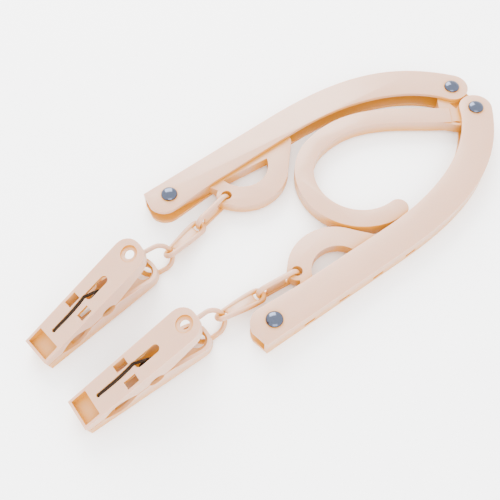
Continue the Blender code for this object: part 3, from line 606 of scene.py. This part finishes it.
class HANGER_OT_springs(bpy.types.Operator):
    """Wind the torsion spring of each clip and lay its legs in their grooves"""
    bl_idname = "hanger.springs"
    bl_label = "Clip springs"

    coil: length("Coil", "Radius of the coil at the wire's centre", 2.9 * MM)
    back: length("Coil's place", "Coil's centre behind the clip's axis", 5.0 * MM)
    half: length("Coil's half length", "Half the coil's length at the wire's centre", 1.5 * MM)
    aside: length("Leg's offset", "How far from the middle each leg starts", 0.8 * MM)
    leg: length("Leg", "Length of each leg along the clip", 20.6 * MM)
    turns: IntProperty(name="Turns", description="Turns of the coil", default=2, min=1)

    def execute(self, context):
        for side in SIDES:
            self.spring(side, context.scene.hanger_metal.wire)
        return {"FINISHED"}

    def spring(self, side, wire):
        """Coil (x, r cos a, r sin a) with x rising evenly, and two like legs, one turned half round."""
        squeeze = JOINTS[f"clip_squeeze_{side}"]
        across = -np.asarray(squeeze["axis"], dtype=float)
        across /= np.linalg.norm(across)
        flat_up = np.array([0.0, 0.0, 1.0])
        flat_ahead = np.cross(flat_up, across)
        ahead = math.cos(CLIP_TILT) * flat_ahead + math.sin(CLIP_TILT) * flat_up
        up = np.cross(across, ahead)
        leg = self.upper_leg()
        lower = (leg * (-1, 1, -1))[::-1]
        steps = 40 * self.turns
        share = np.linspace(0, 1, steps + 1)
        a = 2 * math.pi * self.turns * share
        coil = np.column_stack([2 * self.half * share - self.half, -self.back + self.coil * np.cos(a),
                                self.coil * np.sin(a)])
        local = np.vstack([lower[:-1], coil, leg[1:]])
        pivot = np.asarray(squeeze["pos_m"], dtype=float)
        path = pivot + local @ np.array([across, ahead, up])
        mesh = tube(f"clip_spring_{side}_wire", path, wire, across, False, 12)
        piece = new_piece(f"clip_spring_{side}_wire", mesh, spring_bronze(), f"clip_spring_{side}")
        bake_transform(piece)

    def face(self, y):
        """Height of a half's outer face over the middle plane."""
        return FACE_HEIGHT + (y - FACE_FROM) * math.tan(FACE_SLOPE)

    def upper_leg(self):
        """From the coil up through the slot, along the face, and down into the tip's hole."""
        sink = -0.2 * MM
        tip = -self.back - self.leg
        back = -self.back + self.coil
        crest = self.face(back - 3 * MM) + sink
        end, top = -0.7 * self.aside, self.face(tip) + sink
        knots = [(self.half, back, 0.0), (self.half, back, 1.0 * MM), (1.2 * MM, back, 3 * MM),
                 (self.aside, back, 4.6 * MM), (self.aside, back - 0.3 * MM, crest - 1.5 * MM),
                 (self.aside, back - 1.1 * MM, crest - 0.3 * MM),
                 (0.5 * self.aside, back - 2.3 * MM, crest)]
        for share, run in ((-0.6, -4.6), (-1.4, -6.2), (-1.0, -9.0), (-0.6, -15.0)):
            y = back + run * MM
            knots.append((share * self.aside, y, self.face(y) + sink))
        knots += [(end, tip + 1.0 * MM, top), (end, tip, top - 0.7 * MM), (end, tip, top - 1.5 * MM)]
        return smooth_path(knots, 8)


class HANGER_OT_stage(bpy.types.Operator):
    """Lay the pale floor, hang the soft lights and set the camera"""
    bl_idname = "hanger.stage"
    bl_label = "Stage"

    def execute(self, context):
        look = context.scene.hanger_stage
        self.floor(look)
        self.light("main_softbox", (-0.90, 0.38, 0.62), 0.8, look.key, (1.0, 0.99, 0.98))
        self.light("second_softbox", (0.75, -0.45, 0.55), 0.8, look.fill, (0.97, 0.98, 1.0))
        world = bpy.data.worlds.new("studio")
        world.use_nodes = True
        world.node_tree.nodes["Background"].inputs["Color"].default_value = (1.0, 1.0, 1.0, 1.0)
        world.node_tree.nodes["Background"].inputs["Strength"].default_value = look.sky
        context.scene.world = world
        self.camera(context.scene, look)
        return {"FINISHED"}

    def floor(self, look):
        mesh = bpy.data.meshes.new("floor")
        mesh.from_pydata([(-3, -3, 0), (3, -3, 0), (3, 3, 0), (-3, 3, 0)], [], [(0, 1, 2, 3)])
        floor = bpy.data.objects.new("floor", mesh)
        bpy.context.scene.collection.objects.link(floor)
        paint = bpy.data.materials.new("floor_white")
        paint.use_nodes = True
        shader = paint.node_tree.nodes["Principled BSDF"]
        shader.inputs["Base Color"].default_value = look.floor
        shader.inputs["Roughness"].default_value = 0.7
        mesh.materials.append(paint)

    def light(self, name, place, size, power, tint):
        lamp = bpy.data.lights.new(name, "AREA")
        lamp.shape = "SQUARE"
        lamp.size = size
        lamp.energy = power
        lamp.color = tint
        holder = bpy.data.objects.new(name, lamp)
        bpy.context.scene.collection.objects.link(holder)
        holder.location = place
        holder.rotation_euler = (-Vector(place)).to_track_quat("-Z", "Y").to_euler()

    def camera(self, scene, look):
        """Stands at the side of the clips and looks 60 degrees down."""
        lens = bpy.data.cameras.new("camera")
        lens.lens = look.lens
        lens.sensor_width = 36.0
        lens.clip_start = 0.01
        holder = bpy.data.objects.new("camera", lens)
        scene.collection.objects.link(holder)
        way = Vector((-0.3998, 0.3003, -0.8660)).normalized()
        right = way.cross(Vector((0, 0, 1))).normalized()
        turn = Matrix((right, right.cross(way), -way)).transposed().to_4x4()
        holder.matrix_world = Matrix.Translation((0.1309, -0.1162, 0.2790)) @ turn
        scene.camera = holder


class HANGER_PT_panel(bpy.types.Panel):
    """Sizes, colours and the steps that build the hanger"""
    bl_idname = "HANGER_PT_panel"
    bl_label = "Folding hanger"
    bl_space_type = "VIEW_3D"
    bl_region_type = "UI"
    bl_category = "Hanger"

    def draw(self, context):
        for group in GROUPS:
            values = getattr(context.scene, group)
            box = self.layout.box()
            for name in values.__annotations__:
                box.prop(values, name)
        for step in STEPS:
            self.layout.operator(step)


GROUPS = {"hanger_moulding": HANGER_PG_moulding, "hanger_chain": HANGER_PG_chain,
          "hanger_metal": HANGER_PG_metal, "hanger_stage": HANGER_PG_stage}
STEPS = ("hanger.mouldings", "hanger.chain", "hanger.rivets", "hanger.springs", "hanger.stage")
CLASSES = (*GROUPS.values(), HANGER_OT_mouldings, HANGER_OT_chain, HANGER_OT_rivets,
           HANGER_OT_springs, HANGER_OT_stage, HANGER_PT_panel)


def register():
    for cls in CLASSES:
        bpy.utils.register_class(cls)
    for name, cls in GROUPS.items():
        setattr(bpy.types.Scene, name, PointerProperty(type=cls))


def unregister():
    for name in GROUPS:
        delattr(bpy.types.Scene, name)
    for cls in reversed(CLASSES):
        bpy.utils.unregister_class(cls)


def main():
    register()
    bpy.ops.hanger.mouldings()
    bpy.ops.hanger.chain()
    bpy.ops.hanger.rivets()
    bpy.ops.hanger.springs()
    bpy.ops.hanger.stage()


if __name__ == "__main__":
    main()
